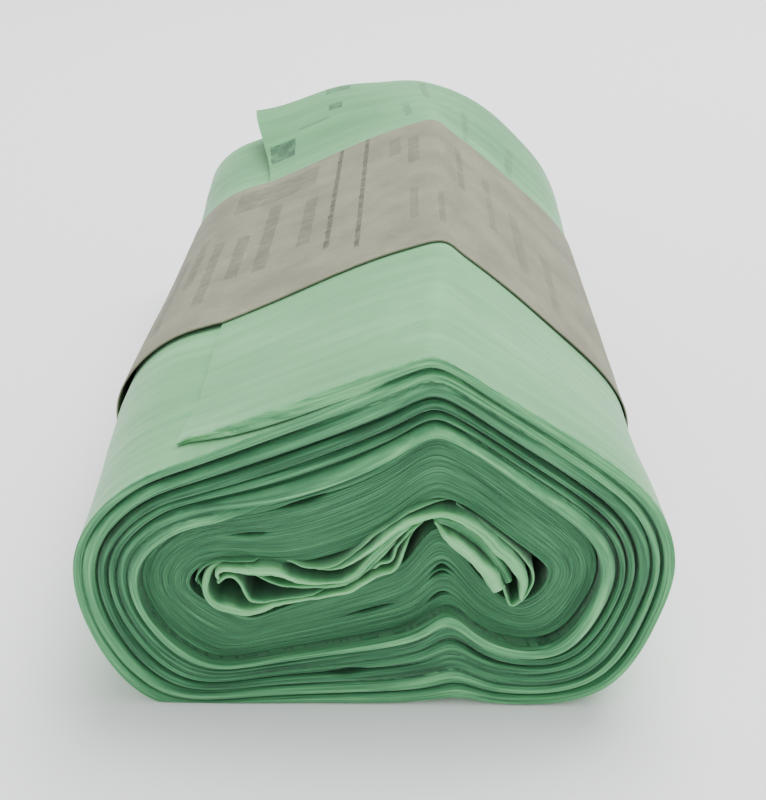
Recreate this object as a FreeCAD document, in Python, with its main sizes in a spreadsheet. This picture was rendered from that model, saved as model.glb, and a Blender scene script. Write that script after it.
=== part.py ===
"""A flattened roll of compostable bin bags held by a kraft paper band.

The roll lies on its flat underside with its length along Y: the near end is at -Y, +X is to the right
and +Z is up. The folded bags are wound without a tube, so the roll has been pressed into a soft ridge
on top and a dent underneath, and its two ends show the turns around a loose, hollow core.
"""

import FreeCAD
import Part
import math
import os

# Driving dimensions, in millimetres unless the note says otherwise
SIZES = (
    ("roll_length", 150.0, "end to end, the width of a folded bag"),
    ("roll_width", 67.4, "across the outermost turn"),
    ("band_swell", 2.0, "largest move of the outline under the paper band"),
    ("far_swell", 4.0, "largest move of the outline at the far end"),
    ("roll_height", 42.6, "floor to the top of the ridge"),
    ("dent_height", 0.8, "rise of the dent in the underside"),
    ("press_depth", 0.9, "how far the floor has flattened the round underside"),
    ("bag_thickness", 1.0, "thickness of one folded bag"),
    ("outer_turns", 5.0, "count of the loose outer turns"),
    ("far_turns_joined", 2.0, "count of those turns that lie without a gap at the far end"),
    ("outer_gap", 0.3, "gap between the loose outer turns"),
    ("outer_gap_depth", 3.5, "how far those gaps run in from the end"),
    ("inner_turns", 0.8, "count of the tight inner turns that show"),
    ("inner_pitch", 2.6, "spacing of the tight inner turns"),
    ("inner_gap", 0.2, "gap between the tight inner turns"),
    ("inner_gap_depth", 1.0, "depth of those gaps below the sunken middle"),
    ("middle_recess", 1.6, "how far the tight turns are sunk below the end"),
    ("core_depth", 9.0, "how far in the hollow core is open"),
    ("core_film", 0.45, "thickness of the loose film in the core"),
    ("flap_reach", 18.0, "length of the free end that has come away from the roll"),
    ("flap_skew", 3.5, "how much further the free end reaches at the far end"),
    ("near_lift", 1.6, "how far the free end stands off at the near end"),
    ("band_lift", 0.3, "how far the free end stands off under the paper band"),
    ("far_lift", 3.8, "how far the free end stands off at the far end"),
    ("band_width", 73.0, "width of the paper band along the roll"),
    ("band_start", 43.5, "near end of the roll to the near edge of the band"),
    ("paper_thickness", 0.2, "thickness of the paper"),
    ("band_clearance", 0.3, "play between the paper and the roll"),
    ("band_slack", 0.8, "how much further the paper stands off at the sides"),
    ("seam_overlap", 12.0, "length of the glued overlap of the paper"),
)

# Spokes of the section, clockwise from the free end of the outer bag as seen from the near end. Each
# has a point of the near end's outline and a point of the hollow core's edge, as shares of half the
# roll's width and of its height, and then how far the outline moves out under the paper band and at the
# far end, as shares of band_swell and far_swell. The turns lie between outline and core.
SPOKES = (
    ((-0.608, 0.742), (-0.445, 0.423), 0.10, 0.88),  # free end of the outer bag
    ((0.027, 0.967), (0.042, 0.486), -0.45, 0.20),  # left of the ridge
    ((0.184, 1.000), (0.196, 0.594), -0.10, -0.05),  # ridge
    ((0.356, 0.937), (0.303, 0.563), -0.20, 0.10),  # right of the ridge
    ((0.777, 0.714), (0.499, 0.444), -0.90, 0.22),  # right slope
    ((0.926, 0.596), (0.546, 0.411), -0.80, 0.05),  # right shoulder
    ((0.994, 0.446), (0.564, 0.383), 0.00, 0.17),  # right side
    ((0.958, 0.270), (0.540, 0.338), 0.35, 0.20),  # right flank
    ((0.795, 0.045), (0.463, 0.308), 0.15, 0.00),  # right corner
    ((0.504, 0.000), (0.386, 0.357), 0.00, 0.00),  # right foot
    ((0.294, 0.000), (0.220, 0.528), 0.00, 0.00),  # dent
    ((0.024, 0.000), (0.059, 0.413), 0.00, 0.00),  # left foot, inner end
    ((-0.371, 0.000), (-0.294, 0.289), 0.00, 0.00),  # left foot, outer end
    ((-0.700, 0.010), (-0.421, 0.258), 0.25, 0.20),  # left corner
    ((-0.940, 0.175), (-0.543, 0.303), 0.80, 0.38),  # left flank
    ((-1.018, 0.430), (-0.596, 0.350), 1.00, 0.90),  # left side
    ((-0.940, 0.582), (-0.573, 0.390), 0.75, 1.00),  # left shoulder
)
SPOKE_COUNT = len(SPOKES)
RIGHT_SIDE, RIGHT_FOOT, DENT, LEFT_FOOT, LEFT_SIDE, LEFT_SHOULDER = 6, 9, 10, (11, 12), 15, 16
NEAR, FAR = -1, 1

# Loose film in the hollow core, from its curled left end to its right end, in the same shares
CORE_FILM = (
    (-0.400, 0.357),
    (-0.466, 0.371),
    (-0.505, 0.343),
    (-0.466, 0.308),
    (-0.341, 0.312),
    (-0.010, 0.415),
    (0.110, 0.511),
    (0.200, 0.552),
    (0.310, 0.509),
    (0.470, 0.368),
)

FIT = 0.03  # how far a cut stays clear of the face that it runs past
FLAP_ARCS, LAP_ARCS = 2, 2
SLACK_SPAN = 0.16  # share of a turn over which the paper's slack dies away
STRAIGHT = 0.3  # an arc that bulges less than this is drawn as a line


def fill_sheet(doc):
    """Write the driving dimensions to the spreadsheet, one aliased cell each."""
    sheet = doc.addObject("Spreadsheet::Sheet", "Sizes")
    for row, (alias, value, note) in enumerate(SIZES, start=1):
        sheet.set(f"A{row}", alias)
        sheet.set(f"B{row}", str(value))
        sheet.set(f"C{row}", note)
        sheet.setAlias(f"B{row}", alias)
    doc.recompute()
    return sheet


def arc_through(start, middle, end):
    """An arc through three points, or a line where they are all but in line."""
    if middle.distanceToLine(start, end - start) < STRAIGHT:
        return Part.makeLine(start, end)
    return Part.Arc(start, middle, end).toShape()


def arc_run(place, stations):
    """Arcs from station to station along a path, each through the place halfway between."""
    edges = []
    for a, b in zip(stations, stations[1:]):
        edges.append(arc_through(place(a), place((a + b) / 2), place(b)))
    return edges


def evenly(start, stop, count):
    return [start + (stop - start) * i / count for i in range(count + 1)]


def closed_wire(*runs):
    """One wire from runs of edges, with a straight edge wherever two runs don't meet."""
    edges = [edge for run in runs for edge in run]
    joined = []
    for edge, following in zip(edges, edges[1:] + edges[:1]):
        joined.append(edge)
        a = edge.valueAt(edge.LastParameter)
        b = following.valueAt(following.FirstParameter)
        if a.distanceToPoint(b) > 1e-6:
            joined.append(Part.makeLine(a, b))
    return Part.Wire(joined)


class Section:
    """The roll's cross-section at one place: any turn is a blend of the outline and the core.

    A place on the spiral is given in turns from the free end of the outer bag. The whole part says
    which turn it is on, and the rest says how far round it is.
    """

    def __init__(self, sizes, y, swells, lift, skew=0.0):
        self.sizes = sizes
        self.end = NEAR if y < 0 else FAR
        self.y = y
        self.pitch = sizes.bag_thickness + sizes.outer_gap
        self.lift = lift
        core = [self.full_size(spoke[1]) for spoke in SPOKES]
        outline = []
        for spoke, inner, swell in zip(SPOKES, core, swells):
            outer = self.full_size(spoke[0])
            outline.append(outer + (outer - inner).normalize() * swell)
        for spoke in (RIGHT_FOOT, DENT, *LEFT_FOOT):
            outline[spoke].z = -sizes.press_depth - self.pitch * spoke / SPOKE_COUNT
        outline[DENT].z += sizes.press_depth + sizes.dent_height
        self.knots = self.spread(outline)
        self.outline = self.closed_curve(outline)
        self.core = self.closed_curve(core)
        self.wound_depth = outline[LEFT_SIDE].distanceToPoint(core[LEFT_SIDE])
        girth = self.outline.length()
        self.reach = sizes.flap_reach / girth
        self.tip = -skew / girth

    def full_size(self, shares):
        x, z = shares
        return FreeCAD.Vector(x * self.sizes.roll_width / 2, self.y, z * self.sizes.roll_height)

    def spread(self, points):
        """Share of a turn at each spoke, by the square root of the distance between them."""
        knots = [0.0]
        for a, b in zip(points, points[1:] + points[:1]):
            knots.append(knots[-1] + math.sqrt(a.distanceToPoint(b)))
        return [knot / knots[-1] for knot in knots]

    def closed_curve(self, points):
        curve = Part.BSplineCurve()
        curve.interpolate(Points=points, PeriodicFlag=True, Parameters=self.knots)
        return curve

    def depth(self, turn):
        """How far in from the outline a turn lies."""
        sizes = self.sizes
        outer = min(turn, sizes.outer_turns + 1)
        return outer * self.pitch + (turn - outer) * sizes.inner_pitch

    def point(self, turn, outward=0.0):
        """Place on the outer side of a turn, moved outward if asked."""
        core, outline = self.core.value(turn % 1), self.outline.value(turn % 1)
        share = 1 - (self.depth(turn) - outward) / self.wound_depth
        return core + (outline - core) * share

    def normal(self, turn):
        """Unit vector that points out of the roll."""
        step = 1e-4
        along = self.point(turn + step) - self.point(turn - step)
        return FreeCAD.Vector(-along.z, 0, along.x).normalize()

    def surface(self, turn, outward=0.0):
        """Outside of the roll, with the free end lifted off it."""
        loose = max(0.0, (self.reach - turn) / (self.reach - self.tip))
        return self.point(turn) + self.normal(turn) * (outward + self.lift * loose**2)

    def skin(self, around, outward=0.0):
        """Outside of the roll by the share of its first turn, which starts at the tip of the free end."""
        first = self.knots[1]
        if around < first:
            around = self.tip + (first - self.tip) * around / first
        return self.surface(around, outward)

    def under_flap(self, turn):
        return self.surface(turn, -self.sizes.bag_thickness)

    def stations(self, start, stop):
        """The spokes between two places on the spiral, with the two places themselves."""
        turns = range(math.floor(start), math.ceil(stop))
        spokes = [turn + knot for turn in turns for knot in self.knots[:-1]]
        return [start, *(spoke for spoke in spokes if start < spoke < stop), stop]

    def gap_wire(self, start, stop, gap):
        """Outline of a spiral gap, just clear of the bag below it."""
        stations = self.stations(start, stop)
        above = arc_run(lambda turn: self.point(turn, gap - FIT), stations)
        below = arc_run(lambda turn: self.point(turn, FIT), stations[::-1])
        return closed_wire(above, below)


def outline_wire(section):
    """Once round the outer turn, in under the free end, and back out to its tip."""
    reach = section.reach
    outside = arc_run(section.skin, section.knots)
    seat = arc_run(section.point, evenly(1, 1 + reach, FLAP_ARCS))
    underside = arc_run(section.under_flap, evenly(reach, section.tip, FLAP_ARCS))
    return closed_wire(outside, seat, underside)


def outer_gap_wire(section):
    """The gap between the loose outer turns, which opens under the free end."""
    sizes = section.sizes
    last = sizes.outer_turns if section.end == NEAR else sizes.outer_turns - sizes.far_turns_joined
    return section.gap_wire(1 + section.reach / 2, last, sizes.outer_gap)


def inner_gap_wire(section):
    """The finer gap between the tight inner turns, inside the sunken middle."""
    sizes = section.sizes
    start = sizes.outer_turns + 1 + section.reach
    return section.gap_wire(start, start + sizes.inner_turns, sizes.inner_gap)


def recess_wire(section):
    """Edge of the sunken middle, which carries the outer gap on for one more turn."""
    start = section.sizes.outer_turns
    gap = section.sizes.outer_gap
    return closed_wire(arc_run(lambda turn: section.point(turn, gap / 2), section.stations(start, start + 1)))


def core_wire(section):
    return closed_wire(arc_run(section.core.value, section.knots))


def film_wire(section):
    """Edge of the loose film that lies folded in the core."""
    middle = Part.BSplineCurve()
    middle.interpolate(Points=[section.full_size(shares) for shares in CORE_FILM])
    half = section.sizes.core_film / 2

    def beside(side):
        def place(along):
            ahead = middle.tangent(along)[0]
            return middle.value(along) + FreeCAD.Vector(-ahead.z, 0, ahead.x) * half * side

        return place

    stations = middle.getKnots()
    return closed_wire(arc_run(beside(1), stations), arc_run(beside(-1), stations[::-1]))


def paper_place(section, outward):
    """A place on the paper for each share of a turn."""
    sizes = section.sizes
    sides = [section.knots[side] for side in (RIGHT_SIDE, LEFT_SIDE)]

    def place(around):
        from_side = min(abs(around - side) for side in sides) / SLACK_SPAN
        slack = sizes.band_slack * math.cos(min(from_side, 1) * math.pi / 2) ** 2
        return section.skin(around, outward + slack)

    return place


def paper_run(section, place, start, stop):
    """The paper from one share of a turn to another, taut across the dent."""
    dent = section.knots[DENT]
    stations = [at for at in section.stations(start, stop) if at != dent]
    edges = arc_run(place, stations)
    across = stations.index(section.knots[DENT + 1]) - 1 if start < dent < stop else None
    if across is not None:
        edges[across] = Part.makeLine(place(stations[across]), place(stations[across + 1]))
    return edges


def leaves_roll(section):
    """Where the paper leaves the roll to bridge the step at the free end of the outer bag."""
    return (section.knots[LEFT_SHOULDER] + 1) / 2


def inside_of_paper(section):
    """Inside of the paper, from the free end of the outer bag round to where it leaves the roll."""
    place = paper_place(section, section.sizes.band_clearance)
    return closed_wire(paper_run(section, place, 0, leaves_roll(section)))


def outside_of_paper(section):
    """Outside of the paper: its outer end is glued over the other end on the left side."""
    sizes = section.sizes
    outward = sizes.band_clearance + sizes.paper_thickness
    single = paper_place(section, outward)
    double = paper_place(section, outward + sizes.paper_thickness)
    outer_end = section.knots[LEFT_SIDE]
    lap_start = outer_end - sizes.seam_overlap / section.outline.length()
    climb = 10 * sizes.paper_thickness / section.outline.length()
    before = paper_run(section, single, 0, lap_start)
    lap = arc_run(double, evenly(lap_start + climb, outer_end, LAP_ARCS))
    after = paper_run(section, single, outer_end, leaves_roll(section))
    return closed_wire(before, lap, after)


def add_shape(doc, name, shape):
    """A document object that holds a computed wire or face."""
    feature = doc.addObject("Part::Feature", name)
    feature.Shape = shape
    return feature


def add_loft(doc, name, wires):
    """A straight-sided solid between two wires."""
    loft = doc.addObject("Part::Loft", name)
    loft.Sections = [add_shape(doc, f"{name}_{i}", wire) for i, wire in enumerate(wires, start=1)]
    loft.Solid = True
    loft.Ruled = True
    return loft


def add_run(doc, name, wire, end, length):
    """A solid that runs from a wire away from the given end, as far as an expression of the sheet says."""
    tool = doc.addObject("Part::Extrusion", name)
    tool.Base = add_shape(doc, f"{name}_outline", Part.Face(wire))
    tool.DirMode = "Custom"
    tool.Dir = FreeCAD.Vector(0, -end, 0)
    tool.Solid = True
    tool.setExpression("LengthFwd", length)
    return tool


def add_box(doc, name, bounds):
    """A box that is wider than the roll, with its other bounds given as expressions of the sheet."""
    box = doc.addObject("Part::Box", name)
    box.setExpression("Length", "2 * Sizes.roll_width")
    box.setExpression("Placement.Base.x", "-Sizes.roll_width")
    for bound, expression in bounds.items():
        box.setExpression(bound, expression)
    return box


def add_floor(doc, name, top):
    """Everything below a level."""
    bounds = {
        "Width": "2 * Sizes.roll_length",
        "Height": "Sizes.roll_height",
        "Placement.Base.y": "-Sizes.roll_length",
        "Placement.Base.z": f"{top} - Sizes.roll_height",
    }
    return add_box(doc, name, bounds)


def cut(doc, name, base, tool):
    result = doc.addObject("Part::Cut", name)
    result.Base, result.Tool = base, tool
    return result


def fuse(doc, name, base, tool):
    result = doc.addObject("Part::Fuse", name)
    result.Base, result.Tool = base, tool
    return result


def make_sections(sizes):
    """The near end, both edges of the paper band, which share one shape, and the far end."""
    half = sizes.roll_length / 2
    band_start = sizes.band_start - half
    at_band = [sizes.band_swell * spoke[2] for spoke in SPOKES]
    at_far_end = [sizes.far_swell * spoke[3] for spoke in SPOKES]
    return [
        Section(sizes, -half, [0.0] * SPOKE_COUNT, sizes.near_lift),
        Section(sizes, band_start, at_band, sizes.band_lift),
        Section(sizes, band_start + sizes.band_width, at_band, sizes.band_lift),
        Section(sizes, half, at_far_end, sizes.far_lift, sizes.flap_skew),
    ]


def end_cuts(section):
    """What is cut into an end: the gaps between the turns, the sunken middle and the hollow core."""
    return (
        ("recess", recess_wire(section), "Sizes.middle_recess"),
        ("outer_gap", outer_gap_wire(section), "Sizes.outer_gap_depth"),
        ("inner_gap", inner_gap_wire(section), "Sizes.middle_recess + Sizes.inner_gap_depth"),
        ("core", core_wire(section), "Sizes.core_depth"),
    )


def make_roll(doc, sections):
    """The wound bags, one piece from the free end to the core. The hidden far end is the plainer one."""
    body = add_loft(doc, "wound_bags", [outline_wire(section) for section in sections])
    near, far = sections[0], sections[-1]
    for section, side in ((near, "near"), (far, "far")):
        for name, wire, depth in end_cuts(section):
            if (side, name) != ("far", "inner_gap"):
                tool = add_run(doc, f"{side}_{name}", wire, section.end, depth)
                body = cut(doc, f"with_{side}_{name}", body, tool)
    film = add_run(doc, "film", film_wire(near), NEAR, "Sizes.core_depth + Sizes.core_film")
    body = fuse(doc, "with_film", body, film)
    body = cut(doc, "on_the_floor", body, add_floor(doc, "floor", "0"))
    bounds = {
        "Width": "Sizes.band_width",
        "Height": "Sizes.paper_thickness",
        "Placement.Base.y": "Sizes.band_start - Sizes.roll_length / 2",
    }
    return cut(doc, "bag_roll", body, add_box(doc, "seat_of_the_paper", bounds))


def make_band(doc, section):
    """The paper band: one strip round the roll, its ends glued where they overlap."""
    outside = add_run(doc, "paper_outside", outside_of_paper(section), NEAR, "Sizes.band_width")
    inside = add_run(doc, "paper_inside", inside_of_paper(section), NEAR, "Sizes.band_width")
    outside = cut(doc, "paper_outside_flat", outside, add_floor(doc, "floor_of_the_paper", "0"))
    level = "Sizes.paper_thickness"
    inside = cut(doc, "paper_inside_flat", inside, add_floor(doc, "paper_on_the_floor", level))
    return cut(doc, "paper_band", outside, inside)


def centre(parts):
    """Shift the parts so that the whole is centred on the origin across its width."""
    boxes = [part.Shape.BoundBox for part in parts]
    middle = (min(box.XMin for box in boxes) + max(box.XMax for box in boxes)) / 2
    for part in parts:
        part.Placement.Base.x -= middle


def check(doc, parts):
    """Stop if any object failed, or any sub-part isn't a valid solid."""
    for item in doc.Objects:
        if {"Invalid", "Error"} & set(item.State):
            raise RuntimeError(f"{item.Label} did not compute: {item.State}")
    for part in parts:
        if part.Shape.isNull() or not part.Shape.isValid() or not part.Shape.Solids:
            raise RuntimeError(f"{part.Label} is not a valid solid")


def main():
    doc = FreeCAD.newDocument("bag_roll")
    sizes = fill_sheet(doc)
    sections = make_sections(sizes)
    parts = [make_roll(doc, sections), make_band(doc, sections[1])]
    doc.recompute()
    centre(parts)
    check(doc, parts)
    os.makedirs("parts", exist_ok=True)
    for part in parts:
        part.Shape.exportStep(f"parts/{part.Label}.step")
        box = part.Shape.optimalBoundingBox()
        print(
            f"{part.Label}: {len(part.Shape.Solids)} solid, {part.Shape.Volume / 1000:.2f} cm3, "
            f"x {box.XMin:.2f} to {box.XMax:.2f}, y {box.YMin:.2f} to {box.YMax:.2f}, "
            f"z {box.ZMin:.2f} to {box.ZMax:.2f}"
        )


main()
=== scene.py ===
"""Looks of a flattened roll of compostable bin bags with a kraft paper band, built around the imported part.

The roll lies along Y with its near end at -Y. Lengths in this file are in millimetres until a mesh is made.
"""

import math

import bmesh
import bpy
import numpy as np
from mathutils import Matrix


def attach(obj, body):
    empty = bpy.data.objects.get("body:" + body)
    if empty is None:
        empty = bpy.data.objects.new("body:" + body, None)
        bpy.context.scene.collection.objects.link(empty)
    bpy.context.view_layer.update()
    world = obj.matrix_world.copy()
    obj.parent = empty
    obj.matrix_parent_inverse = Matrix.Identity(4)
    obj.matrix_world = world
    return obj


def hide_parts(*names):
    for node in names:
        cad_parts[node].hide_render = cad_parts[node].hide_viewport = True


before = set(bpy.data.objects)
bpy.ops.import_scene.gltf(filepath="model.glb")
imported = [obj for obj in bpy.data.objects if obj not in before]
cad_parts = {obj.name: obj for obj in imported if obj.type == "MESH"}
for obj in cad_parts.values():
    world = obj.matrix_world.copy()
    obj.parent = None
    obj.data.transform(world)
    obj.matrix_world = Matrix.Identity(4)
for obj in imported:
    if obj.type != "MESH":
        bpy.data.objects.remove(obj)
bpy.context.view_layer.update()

MM = 0.001
CENTRE = 0.15  # sideways shift of the section drawing onto the part's centre line
HALF_LENGTH = 75.0
NEAR, FAR = -1, 1

# Outline of the roll at its near end, under the band and at its far end: 24 points each, clockwise from the
# free end of the outer bag, as (x, z)
NEAR_OUTLINE = (
    (-20.5, 31.6), (-9.2, 36.9), (0.9, 41.2), (4.0, 42.4), (6.3, 43.0), (8.7, 42.1),
    (12.2, 39.8), (18.5, 35.7), (26.2, 30.4), (31.2, 25.4), (33.5, 19.0), (32.3, 11.5),
    (26.8, 1.9), (17.0, -0.7), (12.6, -0.5), (9.9, -0.3), (7.2, -0.5), (0.8, -0.9),
    (-12.5, -1.0), (-24.6, -0.9), (-31.8, 7.0), (-34.0, 18.1), (-31.3, 24.4), (-26.2, 28.9),
)
BAND_OUTLINE = (
    (-21.2, 31.2), (-10.0, 35.5), (0.5, 39.9), (4.8, 41.3), (8.2, 42.0), (10.4, 40.8),
    (13.0, 38.8), (18.0, 34.8), (24.6, 29.1), (30.2, 23.8), (33.8, 17.8), (33.2, 10.8),
    (27.2, 1.7), (17.0, -0.7), (12.6, -0.5), (9.9, -0.3), (7.2, -0.5), (0.8, -0.9),
    (-12.5, -1.0), (-25.2, -0.8), (-33.4, 7.2), (-36.0, 18.4), (-32.8, 25.0), (-27.4, 29.1),
)
FAR_OUTLINE = (
    (-22.5, 33.8), (-10.5, 40.6), (-1.5, 42.4), (2.0, 42.7), (5.5, 42.7), (9.0, 42.1),
    (13.0, 40.9), (19.5, 37.4), (26.6, 31.0), (31.2, 25.4), (34.6, 17.0), (32.9, 9.5),
    (26.8, 1.6), (17.0, -0.6), (12.6, -0.5), (9.9, -0.4), (7.2, -0.5), (0.8, -0.9),
    (-12.5, -0.9), (-25.8, -0.5), (-33.6, 7.6), (-37.0, 18.6), (-35.4, 26.0), (-29.7, 31.0),
)
# Edge of the hollow core, on the same 24 spokes
CORE = (
    (-15.0, 17.3), (-7.9, 16.6), (1.4, 20.4), (4.2, 22.9), (6.6, 24.7), (8.5, 24.7),
    (10.6, 23.7), (13.6, 21.4), (16.8, 18.9), (18.4, 17.5), (19.0, 16.3), (18.2, 14.4),
    (15.6, 13.1), (13.0, 15.0), (10.2, 18.7), (7.4, 22.3), (4.8, 19.8), (1.2, 16.6),
    (-9.9, 12.1), (-14.2, 11.0), (-18.3, 12.9), (-20.1, 14.9), (-19.3, 16.4), (-17.6, 17.2),
)

# Winding, in turns from the free end of the outer bag
OUTER_TURNS = 6
OUTER_PITCH = 0.085  # share of the way to the core per turn
LAST_SHARE = 0.04  # where the innermost turn ends, as a share of the way out from the core
RING_EXTRA = 0.6  # how much more of its edge the last loose turn shows than the others
INNER_TURNS = {NEAR: 12, FAR: 6}
SPOKE = 16.0  # nominal distance from the outline in to the core
SAMPLES = 280  # points along each turn
ROWS = 8  # steps across each turn
STATIONS = 70  # points along the roll
CORE_DEPTH = 9.0
CORE_LEVELS = 7  # points down the wall of the core
FLOOR_GAP = 0.04  # between the film and the floor
FLOOR_SOFTNESS = 0.05  # in square millimetres: how gently the film bends where it meets the floor
SLACK, CRINKLE = 0.16, 0.045  # how far the outer film's waves and crinkles stand off

# What the patterns are laid out on: nominal distances once round, and from one turn to the next
GIRTH = 195.0
LAYER = 1.3

# Free end of the outer bag
FLAP_SAMPLES = 26  # it takes this many of the first turn's samples
REACH = FLAP_SAMPLES / SAMPLES
BAG = OUTER_PITCH * 15.9  # thickness of the folded bag there
TIP_FILM = 0.3  # thickness at its tip, drawn thicker than one film is
TIP_DROP = 0.85  # how far its thin tip lies below the outline
TIP_REACH = 0.008  # how much further its corners reach than its middle, in turns
FAR_CORNER, NEAR_CORNER = 40.0, 15.0  # how far its corners run along the roll
SET_BACK, SET_BACK_RUN = 5.0, 30.0  # how far its near corner lies behind the end, and how far that runs
CORNER_RISE = 5.1  # how far its far corner rises
RISE_START, RISE_RUN = 40.0, 38.0  # where along the roll it starts to rise, and over which length
CURL = 0.06

# Paper band
BAND_START, BAND_END = -31.5, 41.5
PAPER = 0.2
PAPER_GAP = 0.28
PAPER_TONE = 0.7
BAND_RAMP = 4.0  # length over which the film rises onto the paper underneath
BAND_ROOM = 0.08  # more height for the film there
SEAM = 12.0  # overlap of the strip's ends
STRIP_END = 0.84  # where its outer end lies, in turns
LAP_RISE = 0.3  # how far the outer end lies above the inner one
LEFT_ROOM = 0.6  # how far it stands off the left side
EDGE_WAVE, EDGE_RUN = 0.25, 2.5  # how far its near edge curls and waves, and how far that runs
STRIP_COLUMNS, STRIP_ROWS = 330, 64


def smooth(x):
    """A soft step: 0 below 0 and 1 above 1."""
    x = np.clip(x, 0, 1)
    return x * x * (3 - 2 * x)


def bell(x, middle, width):
    """1 in the middle, falling softly to 0 on both sides."""
    return np.exp(-(((x - middle) / width) ** 2))


def wander(seed, per_turn):
    """Smooth random course between -1 and 1 along the winding, with this many swings in a turn."""
    count, start = 4096, 64.0  # how many random values it has, and where among them it starts
    values = np.random.default_rng(seed).uniform(-1, 1, count)

    def course(u):
        at = np.asarray(u) * per_turn + start
        cell = np.floor(at).astype(int)
        share = smooth(at - cell)
        return values[cell % count] * (1 - share) + values[(cell + 1) % count] * share

    return course


def ripples(seed, count, around, along):
    """Random crinkles over the sheet, from waves with these ranges of waves per turn and per length."""
    rng = np.random.default_rng(seed)
    waves = rng.integers(around[0], around[1] + 1, count)
    lengths = rng.uniform(along[0], along[1], count)
    phases = rng.uniform(0, 2 * math.pi, count)
    weights = rng.uniform(0.4, 1.0, count)

    def height(u, y):
        total = 0.0
        for wave, length, phase, weight in zip(waves, lengths, phases, weights):
            total = total + weight * np.sin(2 * math.pi * (wave * u + length * y / HALF_LENGTH) + phase)
        return total / math.sqrt(count)

    return height


def closed_cubic(points, knots):
    """Smooth closed curve through the points, each reached at its knot, the share of a turn."""
    points = np.array(points, float)
    count = len(points)
    spans = np.diff(np.append(knots, 1.0))
    steps = np.roll(points, -1, 0) - points
    system = np.zeros((count, count))
    right = np.zeros_like(points)
    for i in range(count):
        before, after = spans[i - 1], spans[i]
        system[i, i - 1] = after
        system[i, i] = 2 * (before + after)
        system[i, (i + 1) % count] = before
        right[i] = 3 * (after * steps[i - 1] / before + before * steps[i] / after)
    slopes = np.linalg.solve(system, right)

    def curve(shares):
        shares = np.asarray(shares) % 1.0
        i = np.clip(np.searchsorted(knots, shares, side="right") - 1, 0, count - 1)
        h = spans[i]
        t = ((shares - knots[i]) / h)[..., None]
        h = h[..., None]
        following = (i + 1) % count
        return (
            points[i] * (1 + 2 * t) * (1 - t) ** 2
            + slopes[i] * h * t * (1 - t) ** 2
            + points[following] * t**2 * (3 - 2 * t)
            + slopes[following] * h * t**2 * (t - 1)
        )

    return curve


def spoke_knots(points):
    points = np.array(points, float)
    chords = np.linalg.norm(np.roll(points, -1, 0) - points, axis=1) ** 0.5
    return np.concatenate([[0.0], np.cumsum(chords)[:-1]]) / chords.sum()


KNOTS = spoke_knots(NEAR_OUTLINE)
near_curve = closed_cubic(NEAR_OUTLINE, KNOTS)
band_curve = closed_cubic(BAND_OUTLINE, KNOTS)
far_curve = closed_cubic(FAR_OUTLINE, KNOTS)
core_curve = closed_cubic(CORE, KNOTS)
flap_curl = wander(11, 9)
slack_waves = ripples(5, 9, (1, 4), (0.3, 1.2))
crinkles = ripples(8, 26, (3, 14), (3.0, 9.0))


def outline(shares, y):
    """Point on the outline at a share of a turn: the band holds the roll at one shape, and the ends swell."""
    near = smooth((BAND_START - y) / (BAND_START + HALF_LENGTH))[..., None]
    far = smooth((y - BAND_END) / (HALF_LENGTH - BAND_END))[..., None]
    return near_curve(shares) * near + far_curve(shares) * far + band_curve(shares) * (1 - near - far)


def floor_level(y):
    """Height of the roll's underside: it rests on the paper under the band."""
    past_start = smooth((y - BAND_START + BAND_RAMP) / BAND_RAMP)
    before_end = smooth((BAND_END + BAND_RAMP - y) / BAND_RAMP)
    return FLOOR_GAP + (PAPER + BAND_ROOM) * (past_start * before_end)


def share_out(u, end=NEAR):
    """How far out from the core a turn lies: 1 on the outline, 0 on the core."""
    inner_pitch = (1 - OUTER_PITCH * OUTER_TURNS - LAST_SHARE) / INNER_TURNS[end]
    outer = np.minimum(u, OUTER_TURNS)
    return 1 - outer * OUTER_PITCH - (u - outer) * inner_pitch


def spot(u, y, out=0.0, end=NEAR):
    """Point (x, y, z) of the winding, moved outward by a distance."""
    u, y = np.broadcast_arrays(np.asarray(u, float), np.asarray(y, float))
    edge, core = outline(u, y), core_curve(u)
    spoke = edge - core
    length = np.linalg.norm(spoke, axis=-1)
    share = share_out(u, end) + out / length
    flat = core + spoke * share[..., None]
    level = floor_level(y)
    above = flat[..., 1] - level
    height = level + 0.5 * (above + np.sqrt(above**2 + FLOOR_SOFTNESS))
    return np.stack([flat[..., 0], y, height], -1)


def tip(y):
    """Where the free end starts, in turns: its two corners reach further than its middle."""
    far = smooth((y - (HALF_LENGTH - FAR_CORNER)) / FAR_CORNER) ** 1.5
    near = smooth((NEAR_CORNER - HALF_LENGTH - y) / NEAR_CORNER)
    return -TIP_REACH * (far + near)


def set_back(u, y):
    """How far the free end's near edge lies behind the end of the roll, most at its corner."""
    corner = np.clip(1 - u / (0.95 * REACH), 0, 1) ** 1.8
    return SET_BACK * corner * (1 - smooth((y + HALF_LENGTH) / SET_BACK_RUN))


def lift(u, y):
    """How far the free end stands off the outline: it lies on the roll, and only its far corner stands up."""
    height = CORNER_RISE * smooth((y - RISE_START) / RISE_RUN) ** 1.5 - TIP_DROP
    loose = np.clip((REACH - u) / (REACH - tip(y)), 0, 1)
    return height * loose**1.7 + CURL * flap_curl(u * 4 + y * 0.02) * loose


def flap_thickness(u, y):
    """The free end is one film at its tip and the whole folded bag further on."""
    full = OUTER_PITCH * np.linalg.norm(outline(u, y) - core_curve(u), axis=-1)
    grown = np.clip((u - tip(y)) / (REACH - tip(y)), 0, 1) ** 0.6
    return TIP_FILM + (full - TIP_FILM) * grown


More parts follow.
